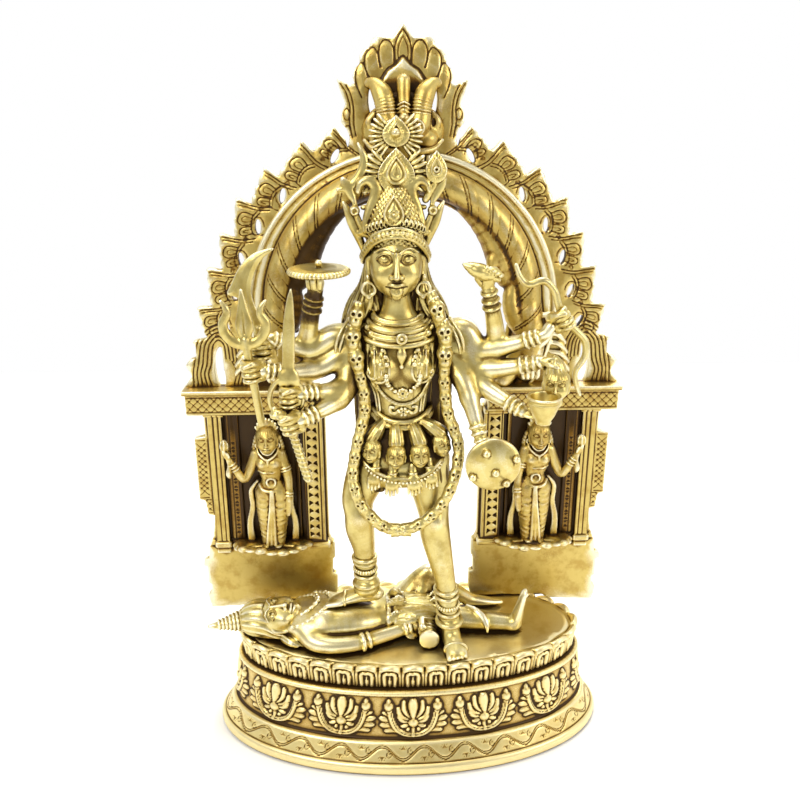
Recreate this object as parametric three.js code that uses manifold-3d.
// A cast brass figure of a ten-armed goddess standing on a reclining figure, on an oval lotus
// plinth, in front of a flaming arch with two attendants. Millimetres, +Z up, the front faces -Y.
// The origin is the centre of the plinth's flat underside.
import * as THREE from "three";
import { mergeVertices } from "three/addons/utils/BufferGeometryUtils.js";
import Module from "manifold-3d";

const wasm = await Module();
wasm.setup();

// Gap kept between two castings that touch, and around a shaft in a fist.
const fitGap = 0.3;

// Plinth. Every ring is an oval whose half width exceeds its half depth by the same amount.
const plinthHeight = 98;
const rimHalfWidth = 159;
const rimHalfDepth = 70;
const footFlare = 25;
const lipHeight = 11;
const ledgeHeight = 26.5;
const ledgeFlare = 13;
const ropeHeight = 72;
const ropeFlare = 5;
const petalFootHeight = 77;
const petalDepth = 2.4;
const petalCount = 36;

// Goddess and reclining figure. Their poses are written for the first height and length
// and grow with them.
const goddessHeight = 464;
const poseHeight = 464;
const recliningLength = 294;
const poseLength = 294;
const chestSoleHeight = 33;

// Arch. Its outline is written for a half width of 197 and a height of 531.
const archHalfWidth = 197;
const archHeight = 531;
const archShift = -4;
const archBack = 50;
const flameThickness = 9;
const panelThickness = 8;
const torusRadius = 12;
const torusHalfWidth = 110;
const torusRise = 114;
const ropeBandHalfWidth = 136;
const ropeBandRise = 127;
const entablatureHeight = 24;
const entablatureBottom = 203;
const springRise = 94;
const leafFanDrop = 59.4;
const entablatureFront = 30;
const pillarFront = 30;
const pillarOuter = 97;
const pillarInner = 71;
const postWidth = 13;

// Attributes held in the fists.
const tridentShaftRadius = 3.4;
const swordGripRadius = 3.6;
const cleaverGripRadius = 5;
const maceRadius = 3.6;
const bowRadius = 3;
const discusRadius = 25;
const discusThickness = 6;
const fingerRadius = 2.4;
const bowlRadius = 14;
const bowlHeight = 24;
const bowlWall = 2.2;
const bladeThickness = 3;
const shieldRadius = 24;

const brass = new THREE.MeshStandardMaterial({ color: 0xc9a53f, roughness: 0.34, metalness: 1 });

// Solids

function toSolid(geometry) {
  geometry.deleteAttribute("normal");
  geometry.deleteAttribute("uv");
  const merged = mergeVertices(geometry, 1e-4);
  return new wasm.Manifold(
    new wasm.Mesh({
      numProp: 3,
      vertProperties: new Float32Array(merged.attributes.position.array),
      triVerts: new Uint32Array(merged.index.array),
    }),
  );
}

function toMesh(name, solid) {
  const { vertProperties, triVerts } = solid.getMesh();
  const geometry = new THREE.BufferGeometry();
  geometry.setAttribute("position", new THREE.BufferAttribute(new Float32Array(vertProperties), 3));
  geometry.setIndex(new THREE.BufferAttribute(new Uint32Array(triVerts), 1));
  const mesh = new THREE.Mesh(geometry, brass.clone());
  mesh.name = name;
  return mesh;
}

const join = (solids) => solids.reduce((whole, solid) => whole.add(solid));

// Skins a closed body over rings of equally many points, which turn left around its path.
function skin(rings) {
  const sides = rings[0].length;
  const position = rings.flat().flatMap((point) => point.toArray());
  const index = [];
  for (let i = 0; i + 1 < rings.length; i++) {
    for (let k = 0; k < sides; k++) {
      const a = i * sides + k;
      const b = i * sides + ((k + 1) % sides);
      index.push(a, b, b + sides, a, b + sides, a + sides);
    }
  }
  const last = (rings.length - 1) * sides;
  const middle = (ring) => ring.reduce((sum, p) => sum.add(p), new THREE.Vector3()).divideScalar(sides);
  position.push(...middle(rings[0]).toArray(), ...middle(rings.at(-1)).toArray());
  for (let k = 0; k < sides; k++) {
    const next = (k + 1) % sides;
    index.push(rings.length * sides, next, k);
    index.push(rings.length * sides + 1, last + k, last + next);
  }
  const geometry = new THREE.BufferGeometry();
  geometry.setAttribute("position", new THREE.Float32BufferAttribute(position, 3));
  geometry.setIndex(index);
  return toSolid(geometry);
}

// A rounded limb through points [x, y, z, radius, second radius]. The second radius lies
// along `across`, as far as the path allows.
function limb(points, { sides = 6, steps = 1, across = new THREE.Vector3(0, 0, 1) } = {}) {
  const path = new THREE.CatmullRomCurve3(points.map((p) => new THREE.Vector3(p[0], p[1], p[2])));
  const sizes = new THREE.CatmullRomCurve3(points.map((p) => new THREE.Vector3(p[3], p[4] ?? p[3], 0)));
  const count = (points.length - 1) * steps;
  const rings = [];
  let up = across.clone();
  for (let i = 0; i <= count; i++) {
    const centre = path.getPoint(i / count);
    const along = path.getTangent(i / count);
    const size = sizes.getPoint(i / count);
    if (Math.abs(up.dot(along)) > 0.98) {
      up = new THREE.Vector3(0, 1, 0);
    }
    up = up.addScaledVector(along, -up.dot(along)).normalize();
    const side = new THREE.Vector3().crossVectors(up, along);
    rings.push({ centre, along, side, up: up.clone(), a: size.x, b: size.y });
  }
  const ends = [rings[0], rings.at(-1)];
  const caps = ends.map((ring, i) => ({
    ...ring,
    centre: ring.centre.clone().addScaledVector(ring.along, (i ? 0.6 : -0.6) * ring.b),
    a: ring.a * 0.6,
    b: ring.b * 0.6,
  }));
  return skin(
    [caps[0], ...rings, caps[1]].map(({ centre, side, up: v, a, b }) =>
      Array.from({ length: sides }, (_, k) => {
        const turn = (2 * Math.PI * k) / sides;
        const point = centre.clone().addScaledVector(side, a * Math.cos(turn));
        return point.addScaledVector(v, b * Math.sin(turn));
      }),
    ),
  );
}

// Level ovals [z, x, y, half width, half depth] from the lowest up.
function stack(levels, sides = 10) {
  return skin(
    levels.map(([z, x, y, halfWidth, halfDepth]) =>
      Array.from({ length: sides }, (_, k) => {
        const turn = (2 * Math.PI * k) / sides;
        return new THREE.Vector3(x + halfWidth * Math.cos(turn), y + halfDepth * Math.sin(turn), z);
      }),
    ),
  );
}

function ball([x, y, z], [a, b, c], wide = 7, high = 5) {
  const geometry = new THREE.SphereGeometry(1, wide, high);
  geometry.rotateX(Math.PI / 2);
  geometry.scale(a, b, c);
  geometry.translate(x, y, z);
  return toSolid(geometry);
}

function box([x0, x1], [y0, y1], [z0, z1]) {
  const geometry = new THREE.BoxGeometry(x1 - x0, y1 - y0, z1 - z0);
  geometry.translate((x0 + x1) / 2, (y0 + y1) / 2, (z0 + z1) / 2);
  return toSolid(geometry);
}

// A ring around `axis`, flattened by `squash` along its second direction.
function ring([x, y, z], radius, thickness, { axis = [0, 0, 1], squash = 1, sides = 10 } = {}) {
  const geometry = new THREE.TorusGeometry(radius, thickness, 4, sides);
  geometry.scale(1, squash, 1);
  const turn = new THREE.Quaternion();
  turn.setFromUnitVectors(new THREE.Vector3(0, 0, 1), new THREE.Vector3(...axis).normalize());
  geometry.applyQuaternion(turn);
  geometry.translate(x, y, z);
  return toSolid(geometry);
}

// A plate from an outline [x, z] seen from the front, between two depths.
function plate(outline, [front, back]) {
  const shape = new THREE.Shape(outline.map(([x, z]) => new THREE.Vector2(x, z)));
  const geometry = new THREE.ExtrudeGeometry(shape, { depth: back - front, bevelEnabled: false });
  geometry.rotateX(Math.PI / 2);
  geometry.translate(0, back, 0);
  return toSolid(geometry);
}

// A turned body from a profile [radius, height], upright at a point.
function turned(profile, [x, y, z], sides = 18) {
  const geometry = new THREE.LatheGeometry(profile.map(([r, h]) => new THREE.Vector2(r, h)), sides);
  geometry.rotateX(Math.PI / 2);
  geometry.translate(x, y, z);
  return toSolid(geometry);
}

const mirrored = (points) => points.map(([x, ...rest]) => [-x, ...rest]);

// Plinth

function ovalRing(flare, height, sides = petalCount) {
  return Array.from({ length: sides }, (_, k) => {
    const turn = (2 * Math.PI * k) / sides;
    const out = flare - (sides > petalCount && k % 2 ? petalDepth : 0);
    return new THREE.Vector3(
      (rimHalfWidth + out) * Math.cos(turn),
      (rimHalfDepth + out) * Math.sin(turn),
      height,
    );
  });
}

// A plain body in rings, with a scalloped crown of petals set on it.
function buildPlinth() {
  const scallops = 2 * petalCount;
  const base = skin([
    ovalRing(footFlare - 2, 0),
    ovalRing(footFlare, lipHeight * 0.5),
    ovalRing(footFlare - 3, lipHeight),
    ovalRing(ledgeFlare, ledgeHeight),
    ovalRing(ledgeFlare - 6, ledgeHeight + 2),
    ovalRing(ropeFlare - 3, ropeHeight - 4),
    ovalRing(ropeFlare, ropeHeight),
    ovalRing(-petalDepth - 1, petalFootHeight - 1),
    ovalRing(-petalDepth - 3, petalFootHeight + 2),
  ]);
  const crown = skin([
    ovalRing(-0.5, petalFootHeight, scallops),
    ovalRing(1.5, plinthHeight - 7, scallops),
    ovalRing(0, plinthHeight, scallops),
  ]);
  return base.add(crown);
}

// Figures stand on the plinth's top. Heights below are above that top.

const soleHeight = plinthHeight + fitGap;
const standingScale = goddessHeight / poseHeight;
const lyingScale = recliningLength / poseLength;

function onTop(points, scale) {
  return points.map(([x, y, z, a = 0, b = a]) => [
    x * scale,
    y * scale,
    soleHeight + z * scale,
    a * scale,
    b * scale,
  ]);
}

const standing = (points) => onTop(points, standingScale);
const at = (...point) => standing([point])[0].slice(0, 3);
const sized = (...sizes) => sizes.map((size) => size * standingScale);
const arm = (points, options) => limb(standing(points), options);

const belowTop = () =>
  box([-2 * rimHalfWidth, 2 * rimHalfWidth], [-2 * rimHalfDepth, 2 * rimHalfDepth], [0, soleHeight]);

// Where the goddess's fists close around what they hold.
const tridentFist = [-131, -32, 265];
const swordFist = [-101, -37, 244];
const cleaverFist = [-125, -14, 279];
const maceFist = [-101, -48, 225];
const bowFist = [125, -22, 303];
const discusTip = [-74, -20, 344];
const bowlFoot = [107, -50, 222];

// Each arm runs from its shoulder over elbow and wrist to the hand, with radii.
const leftArms = [
  [[-48, 4, 280, 11], [-72, 6, 270, 9.5], [-86, 0, 277, 8.5], [-84, -8, 296, 7.5], [-77, -17, 330, 6.5]],
  [[-48, 2, 284, 11], [-66, 0, 284, 10.5], [-86, -4, 274, 8.5], [-113, -13, 286, 6], cleaverFist],
  [[-48, 0, 276, 11], [-75, -8, 260, 9], [-99, -18, 259, 7.5], [-118, -27, 263, 6], tridentFist],
  [[-42, -2, 272, 11], [-52, -6, 258, 10], [-57, -14, 243, 9], [-88, -32, 245, 6], swordFist],
  [[-38, -2, 262, 10.5], [-50, -8, 250, 9.5], [-60, -21, 236, 8.5], [-92, -43, 226, 6], maceFist],
];
const rightArms = [
  [[30, 4, 280, 11], [56, 6, 270, 9.5], [72, 0, 273, 8.5], [71, -8, 293, 7.5], [61, -19, 332, 6.5]],
  [[32, 2, 286, 11], [46, 0, 288, 10.5], [63, -4, 273, 9], [106, -18, 287, 6], bowFist],
  [[32, 0, 276, 11], [47, -2, 274, 10.5], [61, -8, 257, 9], [104, -24, 266, 6], [119, -30, 270, 6]],
  [[28, -2, 268, 10.5], [44, -5, 258, 10], [60, -13, 244, 9], [87, -34, 231, 6], [98, -43, 224, 6]],
  [[24, -2, 262, 10], [36, -8, 256, 9.5], [46, -18, 245, 8.5], [57, -35, 208, 6], [62, -38, 192, 6]],
];

const garlandRoute = [
  [-44, -13, 307], [-47, -16, 290], [-43, -17, 262], [-39, -18, 228], [-45, -23, 200], [-50, -28, 172],
  [-47, -34, 153], [-38, -37, 137], [-20, -40, 123], [0, -40, 124], [18, -38, 135], [31, -36, 153],
  [39, -29, 175], [40, -24, 196], [31, -19, 224], [28, -17, 258], [27, -16, 288], [19, -12, 315],
];

function buildArms() {
  const fists = [tridentFist, swordFist, cleaverFist, maceFist, bowFist];
  return [
    ...[...leftArms, ...rightArms].map((points) => arm(points.map(([x, y, z, r = 6]) => [x, y, z, r]))),
    ...fists.map((point) => ball(at(...point), sized(9.5, 9, 9.5), 6, 5)),
    arm([[-77, -17, 330, 5], [-74, -20, 336, 4]]),
    limb([[...at(-74, -20, 334), fingerRadius], [...at(-74, -20, 350), fingerRadius]]),
    arm([[61, -19, 332, 6], [67, -21, 340, 6], [56, -23, 345, 7], [45, -25, 349, 2]]),
    ball(at(118, -31, 268), sized(8, 7, 6), 6, 5),
    ball(at(120, -32, 251), sized(10, 10, 14), 8, 6),
    arm([[98, -43, 224, 6, 4], [106, -50, 220, 8, 4], [113, -56, 222, 4, 3]]),
    ball(at(62, -40, 190), sized(8, 6, 9), 6, 5),
  ];
}

// Swells a leg into an anklet at each height.
function anklets([x, y, z, r], heights) {
  return heights.flatMap((height) => {
    const lean = (height - z) * 0.08;
    const swell = [[-2.6, 0], [-2, 3.2], [2, 3.2], [2.6, 0]];
    return swell.map(([dz, dr]) => [x - lean, y + lean, height + dz, r + dr]);
  });
}

function buildLegs() {
  const chestLeg = [
    [-26, -4, 182, 22], [-46, -16, 142, 14.5], [-45, -19, 114, 12.5], [-42, -18, 92, 10],
    ...anklets([-41, -16, 66, 9], [80, 58]), [-40, -14, 44, 9],
  ];
  const frontLeg = [
    [10, -4, 182, 22], [19, -14, 138, 15.5], [22, -20, 108, 13], [27, -25, 84, 11.5], [31, -27, 64, 9.5],
    ...anklets([34, -33, 36, 9], [50, 28]), [36, -38, 10, 9],
  ];
  return [
    arm(chestLeg, { sides: 7 }),
    arm(frontLeg, { sides: 7 }),
    arm([[-34, -13, 41, 9, 8], [-50, -15, 39, 9, 7], [-64, -17, 37, 9, 5], [-72, -18, 36, 6, 3]]),
    arm([[36, -34, 8, 8.5, 9], [38, -46, 7, 8.5, 8], [40, -56, 4, 9, 6], [41, -62, 2, 7, 3]]),
  ];
}

function levels(points) {
  return points.map(([z, ...rest]) => [soleHeight + z * standingScale, ...sized(...rest)]);
}

function buildTorso() {
  const body = [
    [147, -7, -8, 41, 24], [166, -7, -6, 41, 24], [168, -7, -6, 44, 27], [176, -7, -6, 44, 27],
    [178, -7, -5, 39, 22], [197, -7, -4, 29, 17], [199, -7, -4, 31, 20], [206, -7, -4, 30, 20],
    [208, -7, -4, 24, 16], [216, -7, -4, 22, 15], [238, -8, -4, 27, 17], [262, -9, -3, 36, 18],
    [285, -9, -1, 41, 17], [298, -9, 0, 33, 14], [306, -10, -1, 15, 13], [322, -11, -4, 11, 11],
  ];
  const collars = [[304, 19], [290, 31]];
  const heads = [[-32, -22, 190], [-12, -26, 188], [7, -26, 188], [25, -21, 193]];
  const hands = [[-31, -28, 168], [-16, -31, 163], [2, -31, 163], [17, -29, 168]];
  return [
    stack(levels(body), 12),
    ...[-24, 6].map((x) => ball(at(x, -15, 261), sized(14, 13, 14))),
    ...collars.map(([z, radius]) =>
      ring(at(-10, (z - 318) * 0.25, z), ...sized(radius, 3), { axis: [0, -0.4, 1], squash: 0.62 }),
    ),
    ...heads.map((point) => ball(at(...point), sized(7.5, 7, 9), 6, 5)),
    ...hands.map(([x, y, z]) => arm([[x, y, z, 4], [x, y - 2, z - 12, 3]], { sides: 6 })),
  ];
}

function buildHead() {
  const hair = [
    [200, -10, 16, 22, 5], [244, -10, 17, 32, 6], [290, -10, 14, 34, 8], [330, -11, 8, 27, 12],
    [366, -12, 0, 22, 20],
  ];
  const dome = [
    [362, -12, -4, 23, 21], [378, -12, -4, 23, 20], [392, -12, -4, 19, 16], [404, -12, -4, 13, 11],
  ];
  const discs = [
    [-14, -20, 389, 8, 5, 14], [-11, -5, 421, 21, 6, 19], [-11, -5, 449, 17, 6, 15], [21, -5, 423, 9, 4, 10],
  ];
  const crescent = [
    [-31, -4, 410, 3], [-40, -6, 416, 4], [-49, -6, 424, 4.5], [-54, -6, 434, 3.5],
    [-52, -6, 446, 1],
  ];
  const spikes = [
    [[22, -4, 362, 4], [27, -6, 384, 5], [33, -7, 404, 2.5]],
    [[15, -4, 386, 4], [20, -6, 400, 5], [22, -7, 414, 3]],
  ];
  const side = (points, way) => points.map(([x, ...rest]) => [-12 + way * x, ...rest]);
  return [
    ball(at(-12, -7, 344), sized(21, 19, 25), 10, 8),
    ball(at(-12, -26, 340), sized(4, 4, 7), 6, 5),
    stack(levels(hair), 8),
    stack(levels(dome)),
    ring(at(-12, -5, 366), ...sized(22, 3.2), { axis: [0, 0.15, 1], squash: 0.92 }),
    ...discs.map(([x, y, z, ...radii]) => ball(at(x, y, z), sized(...radii), 8, 4)),
    arm(crescent, { sides: 6 }),
    arm([[8, -4, 412, 3], [16, -5, 418, 3.5]], { sides: 6 }),
    ...[-1, 1].map((way) =>
      ring(at(-12 + way * 20, -4, 326), ...sized(7, 2), { axis: [1, 0.4, 0], sides: 8 }),
    ),
    ...spikes.flatMap((spike) => [-1, 1].map((way) => arm(side(spike, way)))),
  ];
}

function buildGarland() {
  return arm(garlandRoute.map((point) => [...point, 4.6]), { sides: 4 });
}

function buildShield() {
  const [x, y, z] = at(68, -44, 184);
  const boss = shieldRadius / 6;
  return join([
    ball([x, y, z], [shieldRadius, shieldRadius * 0.28, shieldRadius], 12, 6),
    ball([x, y - shieldRadius * 0.25, z], [boss, boss, boss], 8, 6),
  ]);
}

function buildGoddess(held) {
  const chestSole = soleHeight + chestSoleHeight;
  const underChestFoot = box([-95, -10], [-45, 30], [0, chestSole]);
  const limbs = [...buildTorso(), ...buildLegs(), ...buildHead(), ...buildArms()];
  const parts = [...limbs, buildGarland(), buildShield()];
  return join(parts).subtract(belowTop()).subtract(underChestFoot).subtract(join(held));
}

// Attributes. `grow` widens one by the gap that its fist keeps around it.

function buildTrident(grow = 0) {
  const [x, y, z] = at(...tridentFist);
  const shaft = tridentShaftRadius + grow;
  const prong = [[0, 22], [-11, 27], [-17, 36], [-15, 46], [-17, 54]];
  return join([
    limb([[x + 5, y, z - 42, shaft], [x, y, z, shaft], [x - 3, y, z + 24, shaft]], { sides: 8 }),
    limb([[x - 3, y, z + 20, 3.5, 2.5], [x - 3, y, z + 38, 7, 2.5], [x - 4, y, z + 67, 1, 1]]),
    ...[-1, 1].map((way) =>
      limb(prong.map(([px, pz], i) => [x - 3 - way * px, y, z + pz, 3.2 - i * 0.4]), { sides: 5 }),
    ),
  ]);
}

function buildSword(grow = 0) {
  const [x, y, z] = at(...swordFist);
  const thick = bladeThickness / 2;
  const guard = [[5, 15], [-12, 12], [-16, 0], [-12, -13], [0, -17]];
  const blade = [[-6, 14], [6.5, 14], [7.5, 60], [6, 80], [3, 88], [-1, 70]];
  return join([
    limb([[x - 2, y, z - 18, swordGripRadius + grow], [x, y, z + 16, swordGripRadius + grow]]),
    plate(blade.map(([px, pz]) => [x + px, z + pz]), [y - thick - grow, y + thick + grow]),
    ball([x, y, z + 15], [9, 4, 3], 10, 6),
    limb(guard.map(([px, pz]) => [x + px, y, z + pz, 2.2 + grow]), { sides: 5 }),
  ]);
}

function buildCleaver(grow = 0) {
  const [x, y, z] = at(...cleaverFist);
  const thick = bladeThickness / 2;
  const blade = [
    [-4, 14], [3, 14], [-3, 40], [-4, 50], [-1, 62], [6, 74],
    [16, 82], [2, 80], [-13, 67], [-20, 54], [-24, 47], [-12, 40],
  ];
  const grip = cleaverGripRadius + grow;
  return join([
    limb([[x + 2, y, z - 16, grip], [x, y, z, grip], [x - 1, y, z + 18, grip * 0.8]]),
    plate(blade.map(([px, pz]) => [x + px, z + pz]), [y - thick, y + thick]),
  ]);
}

function buildMace(grow = 0) {
  const [x, y, z] = at(...maceFist);
  const rod = maceRadius + grow;
  return join([
    limb([[x - 9, y, z + 9, rod], [x, y, z, rod], [x + 14, y, z - 49, rod]]),
    ball([x - 9, y, z + 9], [6, 6, 5], 8, 6),
  ]);
}

function buildBow(grow = 0) {
  const [x, y, z] = at(...bowFist);
  const bend = [
    [-39, 43], [-31, 30], [-18, 32], [-8, 22], [0, 0], [11, -10], [21, -25], [14, -42], [16, -64],
  ];
  return limb(bend.map(([px, pz]) => [x + px, y, z + pz, bowRadius + grow]), { sides: 6 });
}

function buildDiscus(grow = 0) {
  const half = discusThickness / 2;
  const bore = fingerRadius + fitGap - grow;
  const profile = [
    [bore, -half], [discusRadius - 4, -half], [discusRadius, -half * 0.3], [discusRadius, half * 0.3],
    [discusRadius - 4, half], [bore, half], [bore, -half],
  ];
  return turned(profile, at(...discusTip), 16);
}

function buildBowl(grow = 0) {
  const out = grow;
  const profile = [
    [0, -out], [bowlRadius * 0.4 + out, -out], [bowlRadius * 0.62 + out, bowlHeight * 0.3],
    [bowlRadius * 0.9 + out, bowlHeight * 0.8], [bowlRadius + out, bowlHeight],
    [bowlRadius - bowlWall, bowlHeight], [bowlRadius * 0.84 - bowlWall, bowlHeight * 0.75],
    [bowlRadius * 0.55 - bowlWall / 2, bowlHeight * 0.32], [0, bowlHeight * 0.25],
  ];
  return turned(profile, at(...bowlFoot), 12);
}

// Reclining figure

const lying = (points) => onTop(points, lyingScale);
const body = (points, options) => limb(lying(points), options);

function buildRecliningFigure() {
  const nearArm = [
    [-98, -30, 13, 9], [-88, -43, 9, 8], [-72, -47, 8, 7.5], [-44, -41, 8, 7], [-20, -32, 10, 6],
    [2, -27, 13, 5.5], [11, -30, 13, 7],
  ];
  const farArm = [[-98, 10, 13, 9], [-72, 18, 9, 7.5], [-42, 18, 8, 6.5], [-12, 14, 8, 6]];
  const nearLeg = [[12, -8, 14, 13], [42, -12, 12, 10.5], [74, -15, 10, 9], [98, -17, 8, 8]];
  const farLeg = [[14, 4, 18, 13], [16, 12, 40, 10], [34, 18, 28, 9], [60, 24, 8, 6.5], [86, 25, 5, 4]];
  const trunk = [
    [-106, -12, 16, 16, 10], [-94, -12, 17, 28, 13], [-74, -12, 19, 29, 15.5], [-52, -12, 19, 26, 15.5],
    [-34, -9, 16, 20, 13], [-12, -6, 16, 21, 13], [8, -3, 15, 22, 13],
  ];
  const cloth = [
    [-26, -8, 14, 22, 13], [-10, -5, 20, 25, 20], [6, 2, 26, 24, 25], [14, 8, 27, 21, 25],
    [26, 8, 16, 16, 16],
  ];
  const bun = [
    [-142, -13, 18, 16], [-154, -14, 16, 13], [-168, -16, 15, 9], [-180, -18, 14, 5],
    [-186, -19, 13, 2],
  ];
  const foot = [[99, -17, 9, 8, 8], [103, -18, 26, 6, 6], [105, -19, 42, 4, 4]];
  const [[drumX, drumY, drumZ, drumRadius]] = lying([[14, -30, 11, 8.5]]);
  const drumEnds = [[drumX, drumY, drumZ, drumRadius], [drumX + 2, drumY - 14, drumZ, drumRadius]];
  const drum = limb(drumEnds, { sides: 9 });
  const chestTop = soleHeight + chestSoleHeight - fitGap;
  const chestSeat = box([-90, -20], [-36, 6], [chestTop, chestTop + 30]);
  return join([
    body([[-140, -13, 18, 15, 15], [-128, -13, 18, 16, 17], [-116, -13, 18, 13, 14]], { sides: 8 }),
    body([[-116, -13, 16, 10], [-100, -12, 16, 11]]),
    body(bun),
    body(trunk, { sides: 9 }),
    body(cloth, { sides: 8 }),
    body(nearArm),
    body(farArm),
    body(nearLeg),
    body(farLeg),
    body(foot),
    drum,
  ])
    .subtract(belowTop())
    .subtract(chestSeat);
}

// Arch

const archWide = archHalfWidth / 197;
const archTall = archHeight / 531;
const springHeight = entablatureBottom + springRise;
const entablatureTop = entablatureBottom + entablatureHeight;
const onArch = ([x, z]) => [archShift + x * archWide, soleHeight + z * archTall];

// Points [x, z] whose heights are above the spring line, or above the entablature.
const raise = (points, height) => points.map(([x, z, ...rest]) => [x, height + z, ...rest]);
const overSpring = (points) => raise(points, springHeight);
const overEntablature = (points) => raise(points, entablatureTop);

// Places on an oval around the arch's spring line, from one turn to another.
function arc(halfWidth, rise, from, to, count) {
  return Array.from({ length: count + 1 }, (_, i) => {
    const turn = from + ((to - from) * i) / count;
    return [halfWidth * Math.cos(turn), springHeight + rise * Math.sin(turn)];
  });
}

// One side of the crest, and the tips of the curled leaves below it, from the top down,
// over the spring line. The leaves fan out from a point below it.
const crest = [
  [0, 234], [11, 222], [26, 221], [32, 207], [38, 200], [36, 191],
  [53, 192], [47, 171], [52, 161], [44, 149], [46, 135],
];
const leafTips = [
  [58, 155], [85, 144], [117, 122], [142, 97], [158, 67], [171, 37], [182, 2], [188, -29],
];

// A leaf's outer edge: a hollow where it leaves the one above, a shoulder and its curled tip.
function leafEdge([x, z], i) {
  const out = new THREE.Vector2(x, z + leafFanDrop).normalize();
  const along = new THREE.Vector2(out.y, -out.x);
  const shape = [[-16, -13], [-9, -11], [-4, -1], [0, 0], [3, -6]];
  return shape.slice(i ? 0 : 2).map(([down, lift]) => [
    x + along.x * (down + 1) + out.x * lift,
    z + along.y * (down + 1) + out.y * lift,
  ]);
}

function buildFlames() {
  const mane = [[184, 25], [195, 21], [190, 11], [197, -1], [197, -entablatureHeight]];
  const springs = [[75, -entablatureHeight], [88, 23]];
  const leaves = [...crest.slice(1), ...leafTips.flatMap(leafEdge)];
  const right = [...overSpring(leaves), ...overEntablature([...mane, ...springs])];
  const [top] = overSpring(crest);
  const inner = arc(torusHalfWidth - 4, torusRise - 4, 0, Math.PI, 20);
  const outline = [top, ...right, ...inner, ...mirrored(right).reverse()];
  const holes = [[57, 131], [102, 99], [124, 73], [140, 45], [149, 15], [158, -13]];
  const hole = ([x, z]) => [[-4, -3], [4, -4], [3, 4]].map(([a, b]) => [x + a, z + b]);
  const cuts = [
    ...holes.map(hole).map(overSpring),
    overSpring([[23, 166], [28, 164], [29, 188], [24, 190]]),
    overEntablature([[162, 2], [168, 0], [169, 31], [163, 37]]),
  ];
  const through = [archBack - 2 * flameThickness, archBack + flameThickness];
  const cutters = [...cuts, ...cuts.map(mirrored)].map((cut) => plate(cut.map(onArch), through));
  return plate(outline.map(onArch), [archBack - flameThickness, archBack]).subtract(join(cutters));
}

function archTube(points, radius, depth, options) {
  return limb(
    points.map(([x, z, r = radius]) => {
      const [px, pz] = onArch([x, z]);
      return [px, depth, pz, r];
    }),
    options,
  );
}

function buildTorus() {
  const depth = archBack - flameThickness - 3;
  const trunk = overSpring([[38, 93, 7], [56, 81, 8], [72, 59, 9], [80, 43, 11], [92, 27, 8]]);
  const beast = overSpring([[112, 3, 11], [116, -13, 12], [112, -29, 10]]);
  return [
    archTube(arc(torusHalfWidth, torusRise, 0, Math.PI, 15), torusRadius, depth, { sides: 6 }),
    archTube(arc(ropeBandHalfWidth, ropeBandRise, 0, Math.PI, 20), 3, depth - 1, { sides: 4 }),
    ...[trunk, mirrored(trunk), beast, mirrored(beast)].map((points) =>
      archTube(points, 0, archBack - flameThickness - 4),
    ),
  ];
}

function buildMask() {
  const front = archBack - flameThickness;
  const [x] = onArch([0, 0]);
  const height = (z) => onArch([0, springHeight + z])[1];
  return [
    ...[-1, 1].flatMap((way) => [
      limb([
        [x + way * 16, front, height(197), 7],
        [x + way * 12, front - 12, height(181), 9],
        [x + way * 10, front - 8, height(161), 7],
      ]),
      ball([x + way * 29, front - 2, height(161)], [6, 5, 8], 6, 4),
    ]),
    ball([x, front - 6, height(155)], [9, 12, 9]),
    ball([x, front - 4, height(139)], [24, 9, 12]),
    ball([x, front - 1, height(203)], [13, 5, 16]),
  ];
}

function buildPanels(way) {
  const face = archBack - panelThickness;
  const span = (a, b) => [a, b].map((v) => onArch([way * v, 0])[0]).sort((p, q) => p - q);
  const rise = (a, b) => [a, b].map((v) => onArch([0, v])[1]);
  const top = entablatureTop;
  const overlap = entablatureBottom + 1;
  const lower = [
    [68, 0], [140, 0], [146, -4], [191, -6], [194, 8], [189, 22], [193, 46], [186, 60], [181, 96], [190, 182],
    [184, entablatureBottom + 2], [72, entablatureBottom + 2], [72, 72], [66, 52],
  ];
  const onWay = lower.map(([x, z]) => onArch([way * x, z]));
  return [
    plate(onWay, [face, archBack]),
    box(span(80, archHalfWidth), [entablatureFront, archBack], rise(entablatureBottom, top - 5)),
    box(span(76, archHalfWidth + 2), [entablatureFront - 3, archBack], rise(top - 5, top)),
    box(span(pillarInner, pillarOuter), [pillarFront, archBack], rise(66, 78)),
    box(span(pillarInner + 4, pillarOuter - 4), [pillarFront + 3, archBack], rise(70, overlap)),
    box(span(180 - postWidth, 180), [pillarFront + 6, archBack], rise(56, overlap)),
  ];
}

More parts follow.
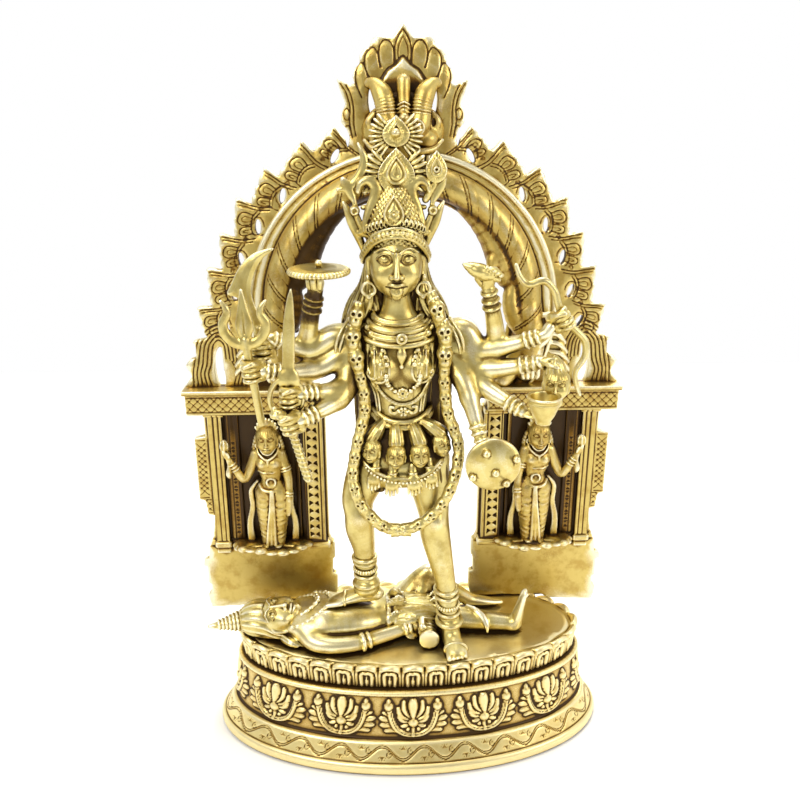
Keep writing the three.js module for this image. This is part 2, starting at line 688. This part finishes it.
function buildAttendant(way) {
  const [x] = onArch([way * 125, 0]);
  const [, foot] = onArch([0, 72]);
  const y = entablatureFront - 4;
  const place = (points) =>
    points.map(([px, py, pz, ...size]) => [x + way * px, y + py, foot + pz, ...size]);
  const dress = [
    [0, 0, 0, 14, 8], [0, 0, 8, 15, 8], [-2, 0, 34, 12, 8], [-3, 0, 58, 13, 8], [-2, 0, 72, 9, 7],
  ];
  const chest = [[-2, 0, 68, 9, 7], [-1, -1, 84, 13, 8], [0, 0, 92, 12, 7], [0, 0, 97, 5, 5]];
  const raised = [[11, 0, 88, 5], [23, -2, 66, 4.5], [30, -6, 82, 3.5], [38, -8, 98, 3]];
  const hanging = [[-11, 0, 88, 5], [-17, -2, 70, 4.5], [-18, -7, 50, 3.5], [-17, -8, 40, 3]];
  return [
    box([x - 37, x + 37], [y - 8, archBack], [foot - 7, foot]),
    limb(place(dress), { across: new THREE.Vector3(0, 1, 0) }),
    limb(place(chest), { across: new THREE.Vector3(0, 1, 0) }),
    limb(place(raised), { sides: 6 }),
    limb(place(hanging), { sides: 6 }),
    ball([x, y - 2, foot + 106], [9, 9, 11]),
    ball([x, y + 1, foot + 118], [7, 7, 8], 6, 4),
    ball([x + way * 38, y - 8, foot + 104], [6, 5, 7], 6, 4),
    limb(place([[0, 4, 60, 8], [0, 16, 60, 10]])),
  ];
}

function buildArch() {
  const sides = [-1, 1].flatMap((way) => [...buildPanels(way), ...buildAttendant(way)]);
  return join([buildFlames(), ...buildTorus(), ...buildMask(), ...sides]);
}

// The whole figure

const held = [buildTrident, buildSword, buildCleaver, buildMace, buildBow, buildDiscus, buildBowl];

const statue = new THREE.Group();
statue.name = "goddess_statue";
statue.add(toMesh("plinth", buildPlinth()));
statue.add(toMesh("reclining_figure", buildRecliningFigure()));
statue.add(toMesh("goddess", buildGoddess(held.map((build) => build(fitGap)))));
statue.add(toMesh("arch", buildArch()));
statue.add(toMesh("trident", buildTrident()));
statue.add(toMesh("sword", buildSword()));
statue.add(toMesh("cleaver", buildCleaver()));
statue.add(toMesh("mace", buildMace()));
statue.add(toMesh("bow", buildBow()));
statue.add(toMesh("discus", buildDiscus()));
statue.add(toMesh("bowl", buildBowl()));

export default statue;
